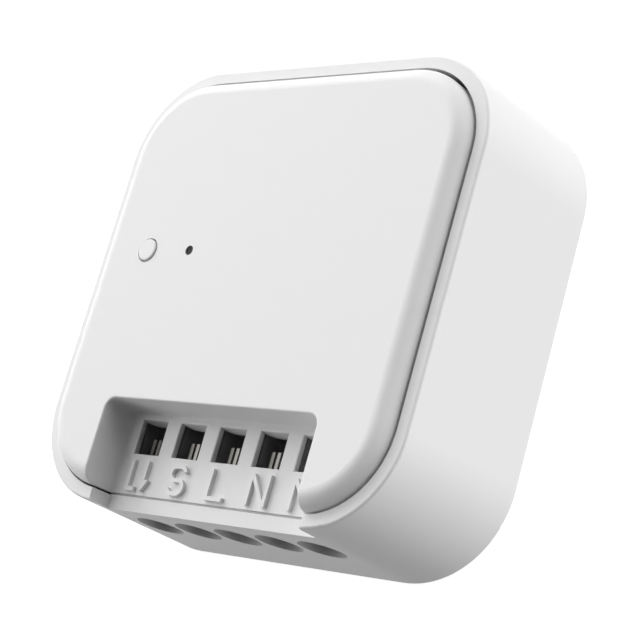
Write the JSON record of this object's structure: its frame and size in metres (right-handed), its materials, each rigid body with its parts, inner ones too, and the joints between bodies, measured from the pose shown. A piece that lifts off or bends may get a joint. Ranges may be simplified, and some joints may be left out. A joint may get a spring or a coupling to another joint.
{
  "type": "smart in-wall dimmer",
  "caption": "Square in-wall dimmer module with push-in wire terminals, screwdriver release windows in a pocket of its inset front cover, a pairing button and an indicator hole.",
  "frame": {"origin": "centre of the flat back face, on the surface that the module lies on", "axes": "+Z out of the front face, +X to the right seen from the front, +Y away from the wire entries"},
  "size_m": [0.0436, 0.0436, 0.017],
  "materials": {
    "black_plastic": "black moulding compound",
    "board_laminate": "green solder resist on glass laminate",
    "button_plastic": "fine satin moulded white",
    "can_metal": "tinned or sleeved can",
    "capacitor_sleeve": "dark printed sleeve, bare of print",
    "ceramic": "ceramic with metal ends",
    "contact_metal": "tin-plated copper alloy",
    "cover_plastic": "fine satin moulded white",
    "ferrite": "pressed ferrite",
    "film_box_plastic": "yellow potted box",
    "housing_plastic": "fine satin moulded white",
    "insulation_film": "thin amber film",
    "led_body": "clear and white chip LED",
    "light_pipe_plastic": "dark smoked clear plastic",
    "nylon_plastic": "natural nylon",
    "pad_rubber": "soft thermal pad",
    "spring_steel": "stainless spring steel",
    "terminal_plastic": "dark grey glass-filled plastic",
    "varistor_coating": "blue dipped coating",
    "winding_copper": "enamelled copper wire"
  },
  "bodies": {
    "module": {"board_header": "black_plastic", "board_spacers": "nylon_plastic", "bridge_rectifier": "black_plastic", "bulk_capacitor": "capacitor_sleeve", "chip_antenna": "ceramic", "choke_core": "ferrite", "choke_winding": "winding_copper", "contact_1": "contact_metal", "contact_2": "contact_metal", "contact_3": "contact_metal", "contact_4": "contact_metal", "contact_5": "contact_metal", "control_board": "board_laminate", "current_shunt": "black_plastic", "dimmer_controller": "black_plastic", "filter_capacitor": "film_box_plastic", "front_cover": "cover_plastic", "fuse": "ceramic", "housing": "housing_plastic", "insulating_sheet": "insulation_film", "light_pipe": "light_pipe_plastic", "main_board": "board_laminate", "power_transistor_left": "black_plastic", "power_transistor_right": "black_plastic", "radio_board": "board_laminate", "radio_shield": "can_metal", "status_led": "led_body", "supply_capacitor": "capacitor_sleeve", "supply_converter": "black_plastic", "supply_inductor": "ferrite", "sync_coupler": "black_plastic", "tact_switch_body": "black_plastic", "terminal_block": "terminal_plastic", "thermal_pad": "pad_rubber", "varistor": "varistor_coating"},
    "pairing_button": {"pairing_button": "button_plastic"},
    "switch_plunger": {"tact_switch_plunger": "nylon_plastic"},
    "clamp_1": {"clamp_spring_1": "spring_steel"},
    "clamp_2": {"clamp_spring_2": "spring_steel"},
    "clamp_3": {"clamp_spring_3": "spring_steel"},
    "clamp_4": {"clamp_spring_4": "spring_steel"},
    "clamp_5": {"clamp_spring_5": "spring_steel"}
  },
  "joints": [
    {"name": "pairing_button_press", "type": "slide", "parent": "module", "child": "pairing_button", "axis": [0, 0, -1], "range_m": [0, 0.0003], "stiffness_N_per_m": 2000},
    {"name": "switch_plunger_press", "type": "slide", "parent": "module", "child": "switch_plunger", "axis": [0, 0, -1], "range_m": [0, 0.0003]},
    {"name": "clamp_1_release", "type": "hinge", "parent": "module", "child": "clamp_1", "pos_m": [-0.01, -0.01721, 0.0076], "axis": [-1, 0, 0], "range_deg": [0, 35], "stiffness_Nm_per_rad": 0.02},
    {"name": "clamp_2_release", "type": "hinge", "parent": "module", "child": "clamp_2", "pos_m": [-0.005, -0.01721, 0.0076], "axis": [-1, 0, 0], "range_deg": [0, 35], "stiffness_Nm_per_rad": 0.02},
    {"name": "clamp_3_release", "type": "hinge", "parent": "module", "child": "clamp_3", "pos_m": [0, -0.01721, 0.0076], "axis": [-1, 0, 0], "range_deg": [0, 35], "stiffness_Nm_per_rad": 0.02},
    {"name": "clamp_4_release", "type": "hinge", "parent": "module", "child": "clamp_4", "pos_m": [0.005, -0.01721, 0.0076], "axis": [-1, 0, 0], "range_deg": [0, 35], "stiffness_Nm_per_rad": 0.02},
    {"name": "clamp_5_release", "type": "hinge", "parent": "module", "child": "clamp_5", "pos_m": [0.01, -0.01721, 0.0076], "axis": [-1, 0, 0], "range_deg": [0, 35], "stiffness_Nm_per_rad": 0.02}
  ],
  "couplings": [
    {"joint": "switch_plunger_press", "follows": "pairing_button_press", "ratio": 1}
  ]
}
